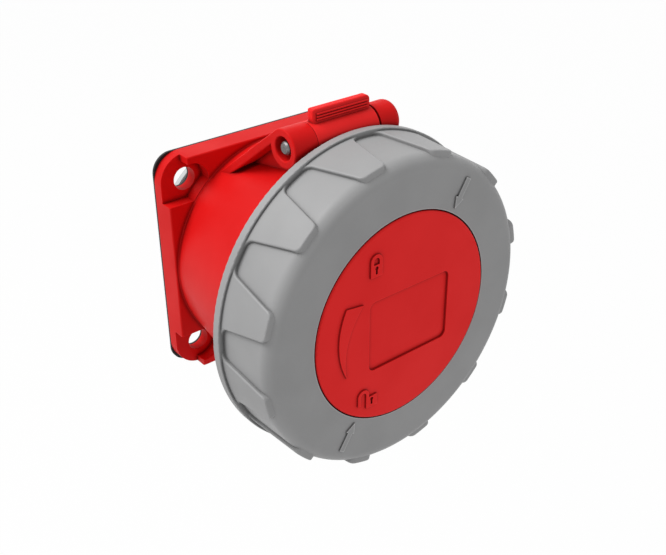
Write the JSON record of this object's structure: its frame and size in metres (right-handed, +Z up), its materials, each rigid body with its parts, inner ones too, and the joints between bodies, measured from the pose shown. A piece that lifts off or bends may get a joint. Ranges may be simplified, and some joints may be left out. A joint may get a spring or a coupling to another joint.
{
  "type": "pin and sleeve receptacle",
  "caption": "Panel-mount pin and sleeve socket with square flange, flared barrel, hinged lid with a turning bayonet ring, and sprung contact sleeves inside.",
  "frame": {"origin": "centre of the four flange holes, on the panel's face where the gasket lies", "axes": "+Y into the panel along the barrel's axis, +Z up to the hinge, +X to the right seen from the front"},
  "size_m": [0.1046, 0.0909, 0.1115],
  "materials": {
    "red_plastic": "satin",
    "grey_plastic": "satin",
    "black_rubber": "matte",
    "steel": "satin",
    "insert_plastic": "satin",
    "block_plastic": "satin",
    "brass": "satin"
  },
  "bodies": {
    "socket": {"housing": "red_plastic", "panel_gasket": "black_rubber", "hinge_pin": "steel", "contact_carrier": "insert_plastic", "terminal_block": "block_plastic", "line_1_sleeve": "brass", "line_2_sleeve": "brass", "line_3_sleeve": "brass", "neutral_sleeve": "brass", "earth_sleeve": "brass", "sleeve_springs": "steel", "terminal_screws": "steel", "terminal_clamps": "steel", "carrier_screws": "steel", "block_screw": "steel"},
    "lid": {"lid": "red_plastic", "lid_seal": "black_rubber", "hinge_spring": "steel"},
    "ring": {"locking_ring": "grey_plastic"}
  },
  "joints": [
    {"name": "lid_hinge", "type": "hinge", "parent": "socket", "child": "lid", "pos_m": [0, -0.0439, 0.0494], "axis": [-1, 0, 0], "range_deg": [0, 110], "stiffness_Nm_per_rad": 0.03, "springref_deg": -28.65},
    {"name": "ring_turn", "type": "hinge", "parent": "lid", "child": "ring", "pos_m": [0, -0.0725, 0], "axis": [0, 1, 0], "range_deg": [0, 118]}
  ]
}
